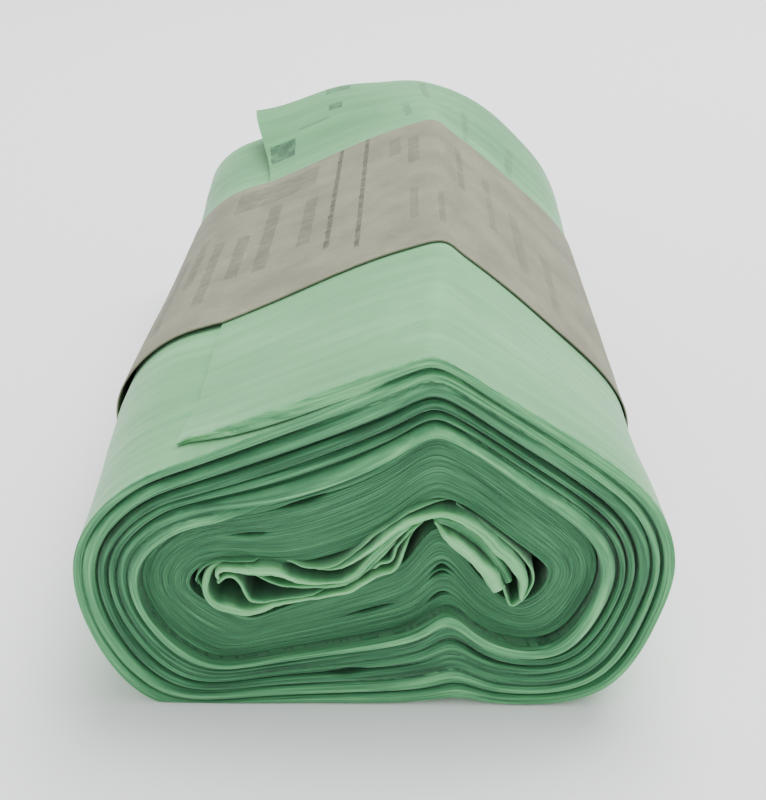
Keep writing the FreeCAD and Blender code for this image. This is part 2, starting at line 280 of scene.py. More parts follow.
def turn_at(i, y):
    """Turns at sample i, so that the free end always takes the same samples."""
    i = np.asarray(i, float)
    whole = np.floor(i / SAMPLES)
    rest = i - whole * SAMPLES
    start = tip(y)
    on_flap = start + (REACH - start) * rest / FLAP_SAMPLES
    beyond = REACH + (1 + start - REACH) * (rest - FLAP_SAMPLES) / (SAMPLES - FLAP_SAMPLES)
    return whole + np.where(rest < FLAP_SAMPLES, on_flap, beyond)


def skin_out(u, y):
    """Slack and crinkles of the outer film, which the band holds down."""
    free = 0.35 + 0.65 * smooth((np.abs(y) - 30) / 20)
    return SLACK * slack_waves(u, y) * free + CRINKLE * crinkles(u, y) * (0.4 + 0.6 * free)


def skin(u, y):
    """Outer side of the free end and the first turn."""
    return spot(u, y + set_back(u, y), lift(u, y) + skin_out(u, y))


def under_flap(u, y):
    """Inner side of the free end."""
    back = set_back(u, y) * (1 - smooth(u / REACH))
    return spot(u, y + back, lift(u, y) + skin_out(u, y) - flap_thickness(u, y))


class Shell:
    """Grids of points that are welded into one mesh, each point with its place and tone."""

    def __init__(self):
        self.points, self.places, self.tones = [], [], []
        self.faces, self.materials = [], []
        self.count = 0

    def grid(self, points, places, tones, material=0, loop=False):
        """Add a grid of quads, closed to a loop if asked, and give the index of its points."""
        rows, columns = points.shape[:2]
        index = self.count + np.arange(rows * columns).reshape(rows, columns)
        self.points.append(points.reshape(-1, 3))
        self.places.append(np.broadcast_to(places, points.shape).reshape(-1, 3))
        self.tones.append(np.broadcast_to(tones, points.shape[:2]).reshape(-1))
        self.count += rows * columns
        if loop:
            index = np.concatenate([index, index[:, :1]], 1)
        quads = np.stack([index[:-1, :-1], index[:-1, 1:], index[1:, 1:], index[1:, :-1]], -1).reshape(-1, 4)
        self.faces.extend(quads.tolist())
        self.materials.extend([material] * len(quads))
        return index

    def build(self, name, materials):
        """Weld the grids into an object, with place and tone as attributes for its materials."""
        mesh = bpy.data.meshes.new(name)
        points = np.concatenate(self.points) + (CENTRE, 0, 0)
        mesh.from_pydata((points * MM).tolist(), [], self.faces)
        for material in materials:
            mesh.materials.append(material)
        mesh.polygons.foreach_set("material_index", self.materials)
        place = mesh.attributes.new("place", "FLOAT_VECTOR", "POINT")
        place.data.foreach_set("vector", np.concatenate(self.places).astype(np.float32).ravel())
        tone = mesh.attributes.new("tone", "FLOAT", "POINT")
        tone.data.foreach_set("value", np.concatenate(self.tones).astype(np.float32))
        clean = bmesh.new()
        clean.from_mesh(mesh)
        bmesh.ops.remove_doubles(clean, verts=clean.verts, dist=1e-6)
        bmesh.ops.dissolve_degenerate(clean, edges=clean.edges, dist=1e-7)
        bmesh.ops.recalc_face_normals(clean, faces=clean.faces)
        clean.to_mesh(mesh)
        clean.free()
        mesh.shade_smooth()
        mesh.set_sharp_from_angle(angle=math.radians(50))
        piece = bpy.data.objects.new(name, mesh)
        bpy.context.scene.collection.objects.link(piece)
        return piece


# The roll

FACE, EDGES = 0, 1  # its materials
SUNKEN, PROUD = 1.7, 0.4  # how far the tight turns lie below the end, and the ring above it
UNDERSIDE = 0.66  # middle of the underside, in turns
USUAL_GAP, LEAST_GAP = 0.95, 0.25  # depth of the gaps between loose turns
GAP_WIDTH = 0.085  # half of a gap, as a share of the turn
RIM_DEPTH, RIM_WIDTH = 0.1, 0.03  # the same at the rim and at the free end's seat
LENS_DEPTH, LENS_WIDTH = 1.6, 0.2  # how much deeper and wider a gap is where it opens
LENS_SHARE = {NEAR: 1.0, FAR: 0.4}
DRIFT = 0.28  # how unevenly thick the turns are
NEXT_TURN = 0.86  # how far across a turn its depth starts to change to the next one's

# Nine points lie across a turn's edge. These are the places of the middle five, as shares of the way between
# its two gaps, and how far each of the nine sinks into the gap beside it
BETWEEN_GAPS = (1 / 12, 5 / 18, 1 / 2, 13 / 18, 11 / 12)
SINKING = (1, 0.92, 0.3, 0.08, 0, 0.08, 0.3, 0.92, 1)

# Lightness of the film, and what a kind of place adds to it or takes away: much of it is painted light and
# painted shade
# the seat and the underside of the free end are darker than the skin: painted shade under the free end
SKIN_TONE, SEAT_TONE, UNDER_FLAP_TONE = 0.8, 0.72, 0.65
FAR_LOSS = 0.14
EDGE_TONE, CORE_TONE = 0.3, 0.3
# painted light: paler outermost turns, free end and proud ring
OUTERMOST_LIGHT, FLAP_LIGHT, RING_LIGHT = 0.22, 0.2, 0.23
# painted shade: darker underneath the roll, in the gaps between turns, at the foot of the ring and down the
# walls of the core
UNDERSIDE_SHADE, GAP_SHADE, RING_FOOT_SHADE, CORE_SHADE = 0.06, 0.7, 0.6, 0.16

gap_depths = wander(21, 7)
gap_widths = wander(22, 9)
ragged = wander(23, 30)
splits = wander(24, 5)
turn_tones = wander(25, 2.3)
pitch_drift = wander(26, 1.7)
fine_tones = wander(27, 11)
frays = wander(29, 36)


def zones(u):
    """Shares of the ring, which is the last loose turn, and of the tight turns inside it."""
    tight = smooth((u - OUTER_TURNS) / 0.05)
    ring = smooth((u - OUTER_TURNS + 1) / 0.1) * (1 - tight)
    return ring, tight


def face_depth(u):
    """Depth of a turn's edge below the end: the ring stands proud, and the tight turns are sunken."""
    ring, tight = zones(u)
    return (SUNKEN + 0.25 * np.sin(4 * math.pi * u + 0.7)) * tight - PROUD * ring + 0.05 * ragged(u)


def underneath(u):
    """1 in the middle of the underside, 0 away from it."""
    return bell(u % 1.0, UNDERSIDE, 0.17)


def edge_depth(u):
    """Depth of the gap on the outer side of a turn, less underneath, where the turns are pressed together."""
    loose = np.maximum(LEAST_GAP, USUAL_GAP + USUAL_GAP * gap_depths(u)) * (1 - 0.5 * underneath(u))
    tight = np.maximum(0.01, 0.02 + 0.07 * gap_depths(u))
    depth = np.where(u < OUTER_TURNS + 0.5, loose, tight)
    opened = smooth((u - 1 - REACH) / 0.03)
    return RIM_DEPTH + (depth - RIM_DEPTH) * opened


def half_gap(u):
    """Half the width of the gap on the outer side of a turn, as a share of the turn."""
    return np.where(u < 1 + REACH, RIM_WIDTH, GAP_WIDTH + 0.05 * gap_widths(u))


def drift(u):
    """The turns aren't equally thick: outward shift of the boundary, as a share of the pitch."""
    held = smooth((u - 1 - REACH) / 0.3)
    return DRIFT * pitch_drift(u) * held


def ring_room(u, end):
    """How much further in the tight turns start, most at the two sides, so that the ring is wide."""
    room = (share_out(u, end) - LAST_SHARE) / (share_out(OUTER_TURNS, end) - LAST_SHARE)
    sides = 1 + 0.6 * np.cos(4 * math.pi * (u - 0.92))
    return RING_EXTRA * sides * smooth((u - OUTER_TURNS) / 0.08) * room


def left_of_skin(u, y):
    """How much of the outer film's slack is left past its first turn, where the next bag covers it."""
    return skin_out(u, y) * (1 - smooth((u - 1 - tip(y)) / 0.05))


def boundary(i, end):
    """Line between two neighbouring turns at the end of the roll: its points and turns."""
    y = end * HALF_LENGTH
    u = turn_at(i, y)
    free = lift(u, y) + skin_out(u, y)
    pitch = (share_out(u, end) - share_out(u + 1, end)) * SPOKE
    wound = left_of_skin(u, y) + drift(u) * pitch - ring_room(u, end)
    covered = u > 1 + tip(y) + 1e-9  # the small number keeps the first turn's last point with the free ones
    return spot(u, y, np.where(covered, wound, free), end), u


# Small gaps between tight turns, and creases where they bend over the dent, as (x, z, half length)
LENSES = (
    (-6.9, 24.9, 2.6), (-0.6, 11.6, 1.8), (-3.0, 3.7, 1.4), (7.6, 17.4, 0.8),
    (7.6, 15.8, 0.9), (7.4, 13.6, 1.0), (-13.5, 21.0, 1.5),
)


def lens_openings(lines, end):
    """How far the small gaps are open along the winding, from 0 to 1."""
    walked = np.concatenate([[0.0], np.cumsum(np.linalg.norm(np.diff(lines, axis=0), axis=1))])
    opened = np.zeros(len(lines))
    for x, z, half in LENSES:
        nearest = np.argmin(np.hypot(lines[:, 0] - x, lines[:, 2] - z))
        opened += bell(walked, walked[nearest], half)
    return np.minimum(opened, 1.0) * LENS_SHARE[end]


def edge_tone(u, across, gap):
    """Lightness of the edges: painted light makes the free end, the outermost turns and the ring pale, and
    painted shade darkens the gaps, the ring's foot and the underside.
    """
    ring, tight = zones(u)
    outermost = 1 - smooth((u - 1.7) / 0.5)
    on_flap = 1 - smooth((u - REACH) / 0.12)
    fraying = 0.1 * frays(u + 7 * across) * (1 - smooth((across - 0.5) / 0.25))
    foot = ring * smooth((across - 0.8) / 0.2)
    tone = EDGE_TONE + 0.08 * turn_tones(u) * (1 - 0.6 * tight) + 0.04 * fine_tones(u)
    # painted light on the outermost turns, the free end and the proud ring; the ring's fraying is random
    tone = tone + OUTERMOST_LIGHT * outermost + FLAP_LIGHT * on_flap + ring * (RING_LIGHT + fraying)
    # painted shade on the underside of the loose turns
    tone = tone - UNDERSIDE_SHADE * underneath(u) * (1 - tight) * (1 - ring)
    # painted shade in the gaps between turns and at the foot of the ring, where it steps down to the tight
    # turns
    return tone * (1 - GAP_SHADE * gap) * (1 - RING_FOOT_SHADE * foot)


def wound_end(shell, end):
    """One end of the roll: every turn has a rounded edge, and a gap on either side. Gives its points."""
    y = end * HALF_LENGTH
    count = (OUTER_TURNS + INNER_TURNS[end]) * SAMPLES + 1
    lines, all_turns = boundary(np.arange(count + SAMPLES), end)
    openings = lens_openings(lines, end)
    u, outside, inside = all_turns[:count], lines[:count], lines[SAMPLES:].copy()
    open_outside, open_inside = openings[:count], openings[SAMPLES:]
    flap = np.arange(count) <= FLAP_SAMPLES
    inside[flap] = under_flap(u[flap], y)

    outside_edge = edge_depth(u) + LENS_DEPTH * open_outside
    inside_edge = np.where(flap, RIM_DEPTH, edge_depth(u + 1)) + LENS_DEPTH * open_inside
    first = half_gap(u) + LENS_WIDTH * open_outside
    last = np.where(flap, RIM_WIDTH, half_gap(u + 1)) + LENS_WIDTH * open_inside
    between = first + np.array(BETWEEN_GAPS)[:, None] * (1 - first - last)
    across = np.concatenate([[np.zeros(count), first], between, [1 - last, np.ones(count)]])

    sinking = np.array(SINKING)[:, None]
    side = np.where(np.arange(ROWS + 1)[:, None] < ROWS / 2, outside_edge, inside_edge)
    split = np.zeros_like(across)
    split[ROWS // 2] = np.maximum(0, splits(u)) * np.where(u < OUTER_TURNS, 0.3, 0.05)
    onward = smooth((across - NEXT_TURN) / (1 - NEXT_TURN))
    depth = sinking * side + face_depth(u) * (1 - onward) + face_depth(u + 1) * onward + split
    if end == NEAR:
        depth += set_back(u, y) * (1 - across * smooth(u / REACH))
    points = outside + (inside - outside) * across[..., None]
    points[..., 1] = y - end * depth

    layers = (u + across) * LAYER + 0.7 * depth
    places = np.stack(np.broadcast_arrays(u * GIRTH, points[..., 1], layers), -1)
    tone = edge_tone(u, across, sinking * np.minimum(side / 1.2, 1))
    shell.grid(points, places, tone, EDGES)
    hollow_core(shell, points, end)
    return points


def hollow_core(shell, points, end):
    """Walls and floor of the hollow core, from the inner edge of the last turn."""
    rim = np.concatenate([points[0, -1:], points[ROWS, -SAMPLES:], points[ROWS - 1 : 0 : -1, -1]])
    floor = rim.copy()
    floor[:, 1] = end * (HALF_LENGTH - CORE_DEPTH)
    levels = np.linspace(0, 1, CORE_LEVELS)[:, None, None] ** 1.4
    walls = rim * (1 - levels) + floor * levels
    rim_step = 0.7  # nominal distance between the points round it
    places = np.stack([np.arange(len(rim)) * rim_step, floor[:, 1], np.zeros(len(rim))], -1)
    # painted shade: the core's walls darken towards its floor
    index = shell.grid(walls, places, CORE_TONE - CORE_SHADE * levels[..., 0], EDGES, loop=True)
    shell.faces.append(index[-1, :-1].tolist())
    shell.materials.append(EDGES)


def outer_wrap(shell, near_end, far_end):
    """The outside of the roll: once round, in under the free end and back out to its tip."""
    share = np.linspace(-1, 1, STATIONS)
    stations = HALF_LENGTH * np.sign(share) * (1 - (1 - np.abs(share)) ** 1.25)
    around = np.arange(SAMPLES + FLAP_SAMPLES + 1)
    back = np.arange(FLAP_SAMPLES - 1, -1, -1)
    rise = np.linspace(1, 0, ROWS + 1)[1:-1, None]
    # painted shade under the free end: lower tones for the seat and the flap's underside
    skin_tones = np.where(around > SAMPLES, SEAT_TONE, SKIN_TONE)
    under_tones = np.full(len(back), UNDER_FLAP_TONE)
    plain_tones = np.concatenate([skin_tones, under_tones, np.full(len(rise), SKIN_TONE)])
    rings, places, tones = [], [], []
    for y in stations:
        u, below = turn_at(around, y), turn_at(back, y)
        seat = spot(u, y, left_of_skin(u, y))
        on_skin = np.where(around[:, None] >= SAMPLES, seat, skin(u, y))
        under = under_flap(below, y)
        edge = under[-1] * rise + on_skin[0] * (1 - rise)
        turns = np.concatenate([u, below + 1, np.full(len(rise), u[0])])
        rings.append(np.concatenate([on_skin, under, edge]))
        places.append(np.stack(np.broadcast_arrays(turns * GIRTH, y, turns * LAYER), -1))
        tones.append(plain_tones - FAR_LOSS * smooth((y - BAND_END) / 12))
    for k, points in ((0, near_end), (-1, far_end)):
        rings[k] = np.concatenate([points[0, around], points[ROWS, back], points[ROWS - 1 : 0 : -1, 0]])
    shell.grid(np.array(rings), np.array(places), np.array(tones), FACE, loop=True)


def make_roll(materials):
    """The folded bags wound together, as one closed mesh."""
    shell = Shell()
    near_end = wound_end(shell, NEAR)
    far_end = wound_end(shell, FAR)
    outer_wrap(shell, near_end, far_end)
    return shell.build("wound_bags", materials)


# Thin sheets: film and paper


def unit(vectors):
    return vectors / np.maximum(np.linalg.norm(vectors, axis=-1, keepdims=True), 1e-9)


def sheet_normals(points):
    return unit(np.cross(np.gradient(points, axis=0), np.gradient(points, axis=1)))


def thick_sheet(shell, points, thickness, places, tones):
    """A closed thin slab whose middle is the grid of points."""
    normals = sheet_normals(points)
    faces = [points + normals * thickness / 2 * side for side in (1, -1)]
    for face in faces:
        shell.grid(face, places, tones)
    for line in (np.s_[0, :], np.s_[-1, :], np.s_[:, 0], np.s_[:, -1]):
        rim = np.stack([faces[0][line], faces[1][line]])
        shell.grid(rim, np.stack([places[line]] * 2), np.stack([tones[line]] * 2))


def smooth_route(points, count):
    """Evenly spaced points on a smooth curve through the given ones, whose first two values are the place."""
    points = np.array(points, float)
    ends = 2 * points[[0, -1]] - points[[1, -2]]
    p = np.concatenate([ends[:1], points, ends[1:]])
    chords = np.maximum(np.linalg.norm(np.diff(p[:, :2], axis=0), axis=1), 1e-6) ** 0.5
    t = np.concatenate([[0.0], np.cumsum(chords)])

    def mix(one, other, i, j, at):
        return (one * (t[j] - at) + other * (at - t[i])) / (t[j] - t[i])

    fine = []
    for i in range(1, len(p) - 2):
        at = np.linspace(t[i], t[i + 1], 24, endpoint=False)[:, None]
        a = [mix(p[i + k], p[i + k + 1], i + k, i + k + 1, at) for k in (-1, 0, 1)]
        b = [mix(a[k], a[k + 1], i + k - 1, i + k + 1, at) for k in (0, 1)]
        fine.append(mix(b[0], b[1], i, i + 1, at))
    fine = np.concatenate(fine + [p[-2:-1]])
    walked = np.concatenate([[0.0], np.cumsum(np.linalg.norm(np.diff(fine[:, :2], axis=0), axis=1))])
    even = np.linspace(0, walked[-1], count)
    return even, np.stack([np.interp(even, walked, column) for column in fine.T], -1)


# Loose folds of film in the core: depth of the front edge below the end, how far it reaches in, its tone, how
# much its two ends tuck in, and the route of its front edge as (x, z, width)
# the deeper a fold's front edge lies, the lower its tone: painted shade in the core
LOOSE_FILMS = {
    "loop": (0.2, 8.0, 0.74, (1, 1), (
        (-16.0, 17.3, 0.4), (-17.2, 17.2, 0.6), (-18.2, 16.4, 0.7), (-18.6, 15.2, 0.7), (-18.3, 13.8, 0.7),
        (-17.4, 12.8, 0.85), (-15.7, 12.1, 1.05), (-14.0, 11.8, 0.9), (-12.8, 12.0, 0.7), (-10.2, 12.8, 0.45),
        (-7.0, 13.5, 0.4), (-4.5, 14.0, 0.4), (-2.3, 14.7, 0.45), (-0.7, 15.6, 0.4), (1.0, 16.7, 0.3),
        (2.3, 17.2, 0.3), (2.9, 18.1, 0.3), (3.5, 19.7, 0.3), (4.3, 21.2, 0.25), (5.6, 22.6, 0.25),
    )),
    "top": (0.2, 8.0, 0.76, (0, 1), (
        (-17.1, 15.9, 0.3), (-17.2, 16.5, 0.4), (-16.4, 17.1, 0.55), (-14.9, 17.1, 0.85), (-13.0, 16.9, 1.2),
        (-11.1, 17.0, 1.1), (-9.7, 16.5, 0.85), (-8.2, 15.9, 0.7), (-6.5, 15.5, 0.4), (-4.0, 15.7, 0.35),
        (-2.1, 16.4, 0.65), (-0.6, 17.8, 0.85), (0.6, 19.3, 0.85), (1.9, 20.7, 0.75), (3.6, 22.3, 0.7),
        (5.3, 23.2, 0.5), (6.6, 23.4, 0.4),
    )),
    "second": (0.7, 7.0, 0.62, (1, 1), (
        (-14.6, 16.8, 0.25), (-12.2, 15.9, 0.3), (-10.1, 15.1, 0.3), (-7.0, 14.8, 0.4), (-4.4, 15.1, 0.6),
        (-2.3, 15.7, 0.6), (-0.6, 17.0, 0.5), (1.2, 19.0, 0.4), (3.0, 21.0, 0.3), (4.8, 22.4, 0.3),
    )),
    "curl": (0.5, 7.0, 0.68, (0, 1), (
        (-17.1, 15.2, 0.4), (-16.2, 16.0, 0.5), (-15.3, 16.0, 0.5), (-14.6, 15.2, 0.45), (-14.1, 14.1, 0.4),
        (-13.4, 13.2, 0.4), (-11.2, 13.1, 0.3), (-7.0, 13.9, 0.25), (-4.5, 14.3, 0.25),
    )),
    "arch": (-0.2, 8.0, 0.76, (1, 0), (
        (-6.1, 16.9, 0.2), (-4.8, 16.9, 0.2), (-3.5, 17.4, 0.25), (-2.1, 18.6, 0.4), (-0.2, 19.9, 0.7),
        (1.9, 21.8, 0.85), (3.9, 23.3, 0.85), (6.0, 24.1, 0.75), (7.4, 24.3, 0.7), (9.1, 24.0, 0.9),
        (11.0, 23.0, 1.15), (13.1, 21.1, 1.5), (14.8, 19.3, 1.75), (16.1, 17.5, 1.6), (16.7, 15.8, 1.15),
        (16.6, 14.1, 0.45),
    )),
    "inner_face": (0.9, 7.0, 0.5, (1, 0), (
        (5.8, 23.2, 0.6), (7.7, 23.1, 1.0), (9.5, 22.3, 1.25), (11.4, 21.0, 1.25), (12.9, 19.3, 1.25),
        (14.2, 17.4, 1.15), (15.2, 15.5, 0.9),
    )),
    "square_end": (-0.4, 8.0, 0.84, (1, 0), (
        (6.9, 22.8, 0.4), (8.1, 21.8, 0.8), (9.2, 20.8, 1.2), (10.6, 19.7, 1.35), (11.9, 18.3, 1.35),
        (13.1, 16.7, 1.8), (13.9, 15.2, 1.5),
    )),
    "branch": (0.4, 8.0, 0.7, (1, 1), (
        (-0.2, 16.3, 0.3), (0.8, 17.8, 0.3), (2.1, 18.3, 0.3), (2.9, 20.2, 0.3), (3.7, 21.6, 0.3),
        (4.6, 22.5, 0.35), (6.0, 23.2, 0.4),
    )),
    "outer_arch": (0.5, 7.0, 0.7, (1, 0), (
        (9.2, 24.8, 0.2), (11.4, 23.4, 0.2), (13.9, 21.5, 0.2), (16.2, 19.4, 0.25), (17.5, 17.5, 0.3),
        (17.8, 15.8, 0.3), (16.9, 13.9, 0.35), (15.6, 12.8, 0.3), (14.8, 14.2, 0.3), (14.5, 15.3, 0.25),
    )),
    "upper_lining": (0.8, 6.0, 0.6, (1, 1), (
        (-10.5, 17.7, 0.2), (-8.6, 17.5, 0.25), (-6.5, 17.2, 0.25), (-4.4, 17.5, 0.25), (-2.7, 18.5, 0.25),
        (-0.6, 20.4, 0.25), (1.2, 22.0, 0.25), (3.6, 23.9, 0.25), (6.2, 25.0, 0.25), (8.6, 25.1, 0.25),
    )),
    "left_lining": (0.9, 6.0, 0.55, (1, 1), (
        (-19.6, 14.2, 0.2), (-19.5, 15.8, 0.2), (-18.5, 17.2, 0.2), (-16.4, 17.9, 0.2), (-12.0, 18.0, 0.2),
    )),
    "left_fold": (1.3, 6.0, 0.5, (1, 1), (
        (-19.6, 15.9, 0.2), (-19.3, 15.0, 0.2), (-18.8, 13.8, 0.2), (-18.0, 12.7, 0.2),
    )),
}
# Section through a fold of film: sideways as a share of its width, and depth behind its front edge in mm, of
# which the last stands for how far it reaches in
FOLD_SECTION = (
    (0.5, 9.0), (0.5, 2.5), (0.5, 1.0), (0.5, 0.35), (0.38, 0.08), (0.13, 0.0),
    (-0.13, 0.0), (-0.38, 0.08), (-0.5, 0.35), (-0.5, 1.0), (-0.5, 2.5), (-0.5, 9.0),
)


ROUTE_POINTS = 120
TUCK_DEPTH, TUCK_SHARE = 1.4, 0.15  # how deep a tucked end lies, and the share of the route that it takes
# painted shade: folds darken further in from the front edge
SHADE_RUN, SHADED_SHARE = 1.2, 0.36  # how soon a fold darkens further in, and what share of its tone is left


def loose_film(shell, end, order, depth, run, tone, tucked, route):
    """One loose fold of film in the core, which runs in from its front edge and has painted shade further in.
    """
    walked, front = smooth_route(route, ROUTE_POINTS)
    place, width = front[:, :2], front[:, 2]
    forward = np.gradient(place, axis=0)
    sideways = unit(np.stack([-forward[:, 1], forward[:, 0]], -1))
    along = walked / walked[-1]
    starting, ending = 1 - smooth(along / TUCK_SHARE), 1 - smooth((1 - along) / TUCK_SHARE)
    tuck = tucked[0] * starting + tucked[1] * ending
    # one random course serves for all of its waves, each from a stretch of its own
    sway = wander(40 + order, 1)
    edge = depth + TUCK_DEPTH * tuck + 0.2 * (1 + sway(walked / 2.2 + 80)) + 0.06 * sway(walked * 2 + 300)
    width = width * (1 + 0.2 * sway(walked / 1.5 + 40))
    shade = tone + 0.08 * sway(walked / 3 + 120)
    points = np.zeros((ROUTE_POINTS, len(FOLD_SECTION), 3))
    tones = np.zeros(points.shape[:2])
    for k, (side, back) in enumerate(FOLD_SECTION):
        wobble = 0.1 * sway(walked / 1.7 + 3 + min(back, 2.5) * 0.4)
        flat = place + sideways * (side * width + wobble)[:, None]
        points[:, k, 0], points[:, k, 2] = flat[:, 0], flat[:, 1]
        points[:, k, 1] = end * (HALF_LENGTH - np.minimum(edge + back, run))
        # painted shade, deeper the further back from the front edge
        tones[:, k] = shade * (SHADED_SHARE + (1 - SHADED_SHARE) * math.exp(-back / SHADE_RUN))
    sides = np.array([side for side, _ in FOLD_SECTION])
    layers = width[:, None] * sides + order * 2.7  # each fold has its own stretch of the pattern
    places = np.stack(np.broadcast_arrays(walked[:, None], points[..., 1], layers), -1)
    index = shell.grid(points, places, tones, loop=True)
    for ring in (index[0], index[-1]):
        shell.faces.append(ring[:-1].tolist())
        shell.materials.append(0)


def make_core_films(material):
    """The loose folds in the core, one piece for each end of the roll."""
    pieces = []
    for end, side in ((NEAR, "near"), (FAR, "far")):
        shell = Shell()
        for order, film in enumerate(LOOSE_FILMS.values()):
            loose_film(shell, end, order, *film)
        pieces.append(shell.build(f"loose_films_{side}", [material]))
    return pieces


def paper_spot(u, y, out):
    """Point on the band: it bridges the step at the free end and stands off the left side."""
    bridge = (BAG + lift(0.0, y)) * smooth((u - 0.9) / 0.1)
    left = LEFT_ROOM * bell(u, 0.87, 0.06) * smooth((12 - y) / 40)
    return spot(u, y, lift(u, y) + bridge + left + 0.5 * skin_out(u, y) + PAPER_GAP + out)


def make_band(material):
    """One strip of paper round the roll, its outer end glued over the inner end on the left side."""
    shell = Shell()
    overlap = SEAM / GIRTH
    turns = np.linspace(STRIP_END - overlap, STRIP_END + 1, STRIP_COLUMNS)
    y = np.linspace(BAND_START, BAND_END, STRIP_ROWS)[:, None]
    on_lap = smooth((turns - (STRIP_END + 1 - overlap)) / (overlap * 0.25))
    wavy_edge = wander(61, 6)
    edge = np.exp(-(y - BAND_START) / EDGE_RUN)
    close = bell(turns % 1.0, 0.33, 0.12)  # on the right side its edge lies on the film
    curl = EDGE_WAVE * edge * (1 + wavy_edge(turns)) * (1 - 0.8 * close)
    points = paper_spot(turns % 1.0, y, LAP_RISE * on_lap + curl)
    points[..., 2] = np.maximum(points[..., 2], PAPER / 2 + 0.02)  # just clear of the floor
    points[..., 1] += EDGE_WAVE * edge * wavy_edge(turns + 9)
    places = np.stack(np.broadcast_arrays((turns - STRIP_END) * GIRTH, y, 0.0), -1)
    thick_sheet(shell, points, PAPER, places, np.full(points.shape[:2], PAPER_TONE))
    return shell.build("paper_strip", [material])


# Materials


def colour(hex_value):
    """Linear RGBA from an sRGB hex value."""
    parts = [int(hex_value[i : i + 2], 16) / 255 for i in (1, 3, 5)]
    linear = [p / 12.92 if p <= 0.04045 else ((p + 0.055) / 1.055) ** 2.4 for p in parts]
    return (*linear, 1.0)


def add(tree, kind, settings=None, links=None, stops=None):
    """Add a node with its settings, the links into it, and a ramp's stops."""
    node = tree.nodes.new("ShaderNode" + kind)
    for key, value in (settings or {}).items():
        if isinstance(key, str) and hasattr(node, key):
            setattr(node, key, value)
        else:
            node.inputs[key].default_value = value
    for key, source in (links or {}).items():
        tree.links.new(source, node.inputs[key])
    if stops:
        elements = node.color_ramp.elements
        while len(elements) < len(stops):
            elements.new(1.0)
        for element, (position, value) in zip(elements, stops):
            element.position = position
            element.color = colour(value) if isinstance(value, str) else (value, value, value, 1.0)
    return node


def new_material(name):
    material = bpy.data.materials.new(name)
    material.use_nodes = True
    tree = material.node_tree
    tree.nodes.clear()
    return material, tree


def surface(tree, base, rough, bump_height, bump_distance, settings):
    """Close a material: one shader with colour, roughness and a bump."""
    bump = add(tree, "Bump", {"Distance": bump_distance, "Strength": 1.0}, {"Height": bump_height})
    links = {"Base Color": base, "Roughness": rough, "Normal": bump.outputs[0]}
    shader = add(tree, "BsdfPrincipled", settings, links)
    add(tree, "OutputMaterial", {}, {"Surface": shader.outputs[0]})


FILM_SHADER = {
    "IOR": 1.48,
    "Specular IOR Level": 0.35,
    "Sheen Weight": 0.15,
    "Sheen Roughness": 0.5,
    "Subsurface Weight": 0.25,
    "Subsurface Radius": (0.5, 1.0, 0.55),
    "Subsurface Scale": 0.002,
}


def inked(tree, place, bars):
    """Share of worn ink at each place, from bars given as (around, start, stop, width, strength) in mm."""
    # the bars' edges wander by up to 0.5 mm, in waves about 2 mm long
    fray = add(tree, "TexNoise", {"Scale": 0.5, "Detail": 4.0}, {"Vector": place.outputs["Vector"]})
    moved = {0: fray.outputs["Color"], 2: place.outputs["Vector"]}
    frayed = add(tree, "VectorMath", {"operation": "MULTIPLY_ADD", 1: (0.5, 0.5, 0.0)}, moved)
    parts = add(tree, "SeparateXYZ", {}, {0: frayed.outputs[0]})
    total = None
    for around, start, stop, width, strength in bars:
        beside = add(tree, "Math", {"operation": "COMPARE", 1: around, 2: width / 2}, {0: parts.outputs["X"]})
        span = {"operation": "COMPARE", 1: (start + stop) / 2, 2: (stop - start) / 2}
        along = add(tree, "Math", span, {0: parts.outputs["Y"]})
        bar = add(tree, "Math", {"operation": "MULTIPLY"}, {0: beside.outputs[0], 1: along.outputs[0]})
        ink = add(tree, "Math", {"operation": "MULTIPLY", 1: strength}, {0: bar.outputs[0]})
        if total:
            ink = add(tree, "Math", {"operation": "MAXIMUM"}, {0: total.outputs[0], 1: ink.outputs[0]})
        total = ink
    wear = add(tree, "ValToRGB", {}, {"Fac": fray.outputs["Fac"]}, ((0.35, 0.45), (0.6, 1.0)))
    return add(tree, "Math", {"operation": "MULTIPLY"}, {0: total.outputs[0], 1: wear.outputs[0]})


# Plain worn bars on the film near its far end, and on the band: distance round, start and stop along the
# roll, width in mm, and strength
FILM_MARKS = (
    (2.6, 52.0, 58.5, 4.5, 0.95), (12.0, 71.5, 74.5, 4.5, 0.6), (11.6, 63.5, 66.0, 2.4, 0.8),
    (8.0, 60.5, 61.3, 5.0, 0.5), (33.0, 61.0, 73.0, 2.0, 0.45), (26.5, 50.0, 58.0, 2.0, 0.4),
    (45.0, 45.0, 62.0, 1.8, 0.35), (57.0, 46.0, 60.0, 1.8, 0.35),
)
BAND_MARKS = (
    (44.4, -17.0, 42.0, 0.7, 0.75), (48.6, -23.0, 42.0, 0.7, 0.75), (33.5, 25.0, 38.0, 15.0, 0.35),
    (35.0, -13.5, 21.0, 2.2, 0.4), (30.4, -12.5, 9.0, 2.2, 0.4), (25.4, -20.0, 10.0, 2.2, 0.4),
    (21.0, -8.0, 16.0, 2.2, 0.35), (16.6, -22.0, 12.0, 2.2, 0.35), (11.0, -26.0, 20.0, 1.2, 0.4),
    (41.0, -10.0, 16.0, 1.8, 0.4), (58.0, 14.0, 32.0, 2.4, 0.35), (54.0, 22.0, 34.0, 2.4, 0.3),
    (58.0, -18.0, -2.0, 1.6, 0.3), (63.5, -22.0, -6.0, 1.6, 0.3), (72.0, 4.0, 31.0, 2.2, 0.35),
    (80.0, -6.0, 24.0, 1.8, 0.25), (86.0, -16.0, 14.0, 2.2, 0.25), (92.0, -22.0, 4.0, 1.8, 0.25),
)


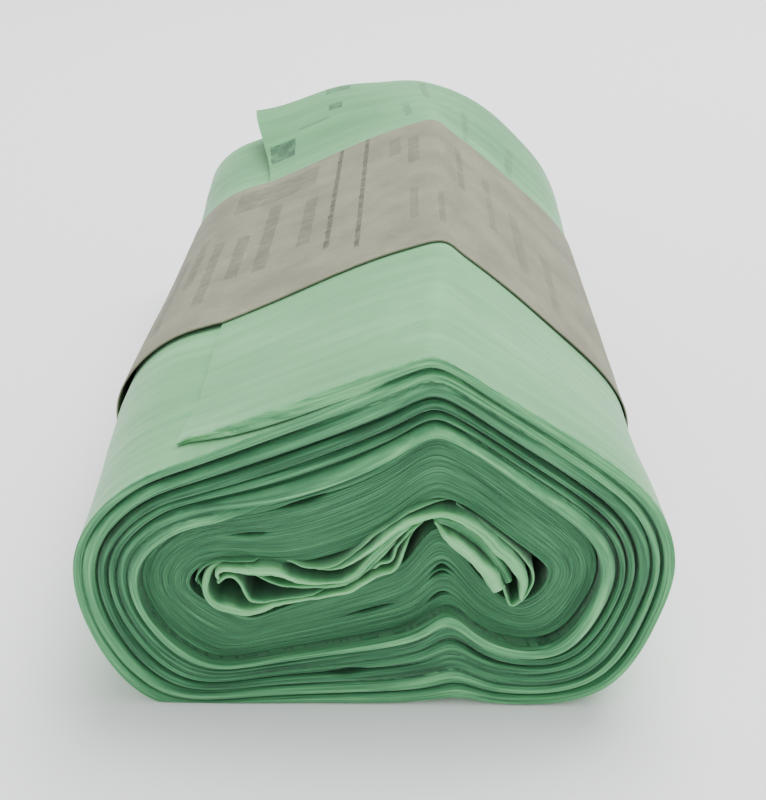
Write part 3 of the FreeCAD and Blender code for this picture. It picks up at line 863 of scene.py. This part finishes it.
def film_face():
    """Blown starch film, matt and a little milky: soft broad gloss, pale green from many layers below."""
    material, tree = new_material("blown_starch_film")
    place = add(tree, "Attribute", {"attribute_name": "place"})
    tone = add(tree, "Attribute", {"attribute_name": "tone"})
    # creases run round the roll, a little aslant: about 30 mm long and 3 mm apart
    creased = {"Scale": (1 / 30, 1 / 3, 0.2), "Rotation": (0, 0, 0.12)}
    stretched = add(tree, "Mapping", creased, {"Vector": place.outputs["Vector"]})
    crease_noise = {"Scale": 1.0, "Detail": 5.0, "Roughness": 0.55}
    creases = add(tree, "TexNoise", crease_noise, {"Vector": stretched.outputs[0]})
    # milky clouds about 22 mm across
    cloudy = add(tree, "TexNoise", {"Scale": 1 / 22, "Detail": 3.0}, {"Vector": place.outputs["Vector"]})
    # the crease pattern also darkens and lightens the colour: painted shade along the creases
    shade = add(tree, "Math", {"operation": "MULTIPLY_ADD", 1: 0.55, 2: -0.28}, {0: creases.outputs["Fac"]})
    clouds = add(tree, "Math", {"operation": "MULTIPLY_ADD", 1: 0.5, 2: -0.25}, {0: cloudy.outputs["Fac"]})
    mixed = add(tree, "Math", {"operation": "ADD"}, {0: shade.outputs[0], 1: clouds.outputs[0]})
    level = add(tree, "Math", {"operation": "ADD"}, {0: mixed.outputs[0], 1: tone.outputs["Fac"]})
    greens = ((0.2, "#33744a"), (0.55, "#4f955e"), (0.8, "#62aa6e"), (1.0, "#77ba82"))
    plain = add(tree, "ValToRGB", {}, {"Fac": level.outputs[0]}, greens)
    ink = inked(tree, place, FILM_MARKS)
    with_ink = {"Fac": ink.outputs[0], "Color1": plain.outputs[0]}
    base = add(tree, "MixRGB", {"Color2": colour("#0f4a2c")}, with_ink)
    rough = add(tree, "Math", {"operation": "MULTIPLY_ADD", 1: 0.2, 2: 0.42}, {0: creases.outputs["Fac"]})
    surface(tree, base.outputs[0], rough.outputs[0], creases.outputs["Fac"], 0.0005, FILM_SHADER)
    return material


def film_edges():
    """Edges of many folded films in a stack: darker in the gaps between them, as painted shade, with fine
    lines.
    """
    material, tree = new_material("stacked_film_edges")
    place = add(tree, "Attribute", {"attribute_name": "place"})
    tone = add(tree, "Attribute", {"attribute_name": "tone"})
    # film edges round the roll, 14 mm long and 0.3 mm apart: coarser than the real ones, so that they show
    lines = add(tree, "Mapping", {"Scale": (1 / 14, 0.0, 1 / 0.3)}, {"Vector": place.outputs["Vector"]})
    edge_noise = {"Scale": 1.0, "Detail": 3.0, "Roughness": 0.6}
    grain = add(tree, "TexNoise", edge_noise, {"Vector": lines.outputs[0]})
    shade = add(tree, "Math", {"operation": "MULTIPLY_ADD", 1: 1.2, 2: -0.6}, {0: grain.outputs["Fac"]})
    level = add(tree, "Math", {"operation": "ADD"}, {0: shade.outputs[0], 1: tone.outputs["Fac"]})
    greens = ((0.0, "#143d24"), (0.25, "#2f6a45"), (0.5, "#4f9463"), (0.75, "#74bd7f"), (1.0, "#8fd194"))
    base = add(tree, "ValToRGB", {}, {"Fac": level.outputs[0]}, greens)
    rough = add(tree, "Math", {"operation": "MULTIPLY_ADD", 1: 0.2, 2: 0.5}, {0: grain.outputs["Fac"]})
    surface(tree, base.outputs[0], rough.outputs[0], grain.outputs["Fac"], 0.00015, FILM_SHADER)
    return material


PAPER_SHADER = {"IOR": 1.5, "Specular IOR Level": 0.2, "Sheen Weight": 0.05}


def kraft_paper():
    """Uncoated recycled kraft paper: matt, fibrous and grey-brown, with plain worn bars."""
    material, tree = new_material("kraft_paper")
    place = add(tree, "Attribute", {"attribute_name": "place"})
    # fibres 1 to 2 mm long, 0.3 mm wide, mostly along the strip
    along_strip = {"Scale": (1 / 1.6, 1 / 0.3, 1.0)}
    fibre_place = add(tree, "Mapping", along_strip, {"Vector": place.outputs["Vector"]})
    fibre_noise = {"Scale": 1.0, "Detail": 5.0, "Roughness": 0.65}
    fibres = add(tree, "TexNoise", fibre_noise, {"Vector": fibre_place.outputs[0]})
    # faint blotches about 9 mm across
    blotches = add(tree, "TexNoise", {"Scale": 1 / 9, "Detail": 4.0}, {"Vector": place.outputs["Vector"]})
    browns = ((0.25, "#777763"), (0.5, "#878772"), (0.75, "#969682"))
    paper = add(tree, "ValToRGB", {}, {"Fac": fibres.outputs["Fac"]}, browns)
    worn = add(tree, "ValToRGB", {}, {"Fac": blotches.outputs["Fac"]}, ((0.35, "#e6e4e4"), (0.65, "#ffffff")))
    stained = {"Color1": paper.outputs[0], "Color2": worn.outputs[0]}
    plain = add(tree, "MixRGB", {"blend_type": "MULTIPLY", "Fac": 1.0}, stained)
    ink = inked(tree, place, BAND_MARKS)
    with_ink = {"Fac": ink.outputs[0], "Color1": plain.outputs[0]}
    base = add(tree, "MixRGB", {"Color2": colour("#34372f")}, with_ink)
    rough = add(tree, "Math", {"operation": "MULTIPLY_ADD", 1: 0.15, 2: 0.75}, {0: fibres.outputs["Fac"]})
    surface(tree, base.outputs[0], rough.outputs[0], fibres.outputs["Fac"], 0.00003, PAPER_SHADER)
    return material


# Studio


def backdrop():
    """A pale matt floor."""
    mesh = bpy.data.meshes.new("studio_floor")
    half = 3.0  # metres
    corners = [(-half, -half, 0), (half, -half, 0), (half, half, 0), (-half, half, 0)]
    mesh.from_pydata(corners, [], [(0, 1, 2, 3)])
    material, tree = new_material("pale_floor")
    shader = add(tree, "BsdfPrincipled", {"Base Color": colour("#fbfbfb"), "Roughness": 0.9})
    add(tree, "OutputMaterial", {}, {"Surface": shader.outputs[0]})
    mesh.materials.append(material)
    floor = bpy.data.objects.new("studio_floor", mesh)
    bpy.context.scene.collection.objects.link(floor)


def light(name, place, size, watts):
    """A square lamp that faces the roll, with its place and size in metres."""
    data = bpy.data.lights.new(name, "AREA")
    data.size = size
    data.energy = watts
    lamp = bpy.data.objects.new(name, data)
    lamp.location = place
    x, y, z = place
    lamp.rotation_euler = (math.atan2(math.hypot(x, y), z), 0, math.atan2(x, -y))
    bpy.context.scene.collection.objects.link(lamp)


def studio():
    """Soft light from above and in front, and pale daylight all round."""
    backdrop()
    light("overhead", (0.22, 0.35, 0.9), size=0.9, watts=18)
    light("front_fill", (-0.4, -1.1, 0.6), size=1.0, watts=5)
    world = bpy.data.worlds.new("soft_daylight")
    world.use_nodes = True
    ground = world.node_tree.nodes["Background"]
    ground.inputs["Color"].default_value = colour("#fafcff")
    ground.inputs["Strength"].default_value = 0.85
    bpy.context.scene.world = world


def camera():
    """The photograph's view: one end from above, nearly along the roll."""
    right, back, up = 3.4 + CENTRE, 219.5, 98.6
    down, left = math.radians(22.8), math.radians(0.86)
    data = bpy.data.cameras.new("camera")
    data.lens = 67.5
    data.sensor_width = 36.0
    view = bpy.data.objects.new("camera", data)
    view.location = (right * MM, -back * MM, up * MM)
    view.rotation_euler = (math.radians(90) - down, 0, left)
    bpy.context.scene.collection.objects.link(view)
    bpy.context.scene.camera = view


def main():
    face, edges, kraft = film_face(), film_edges(), kraft_paper()
    roll = make_roll([face, edges])
    films = make_core_films(edges)
    band = make_band(kraft)
    for piece, slot_name in ((roll, "film"), (films[0], "film"), (films[1], "film"), (band, "kraft_paper")):
        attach(piece, "root")
    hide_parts("bag_roll")
    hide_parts("paper_band")
    studio()
    camera()


main()
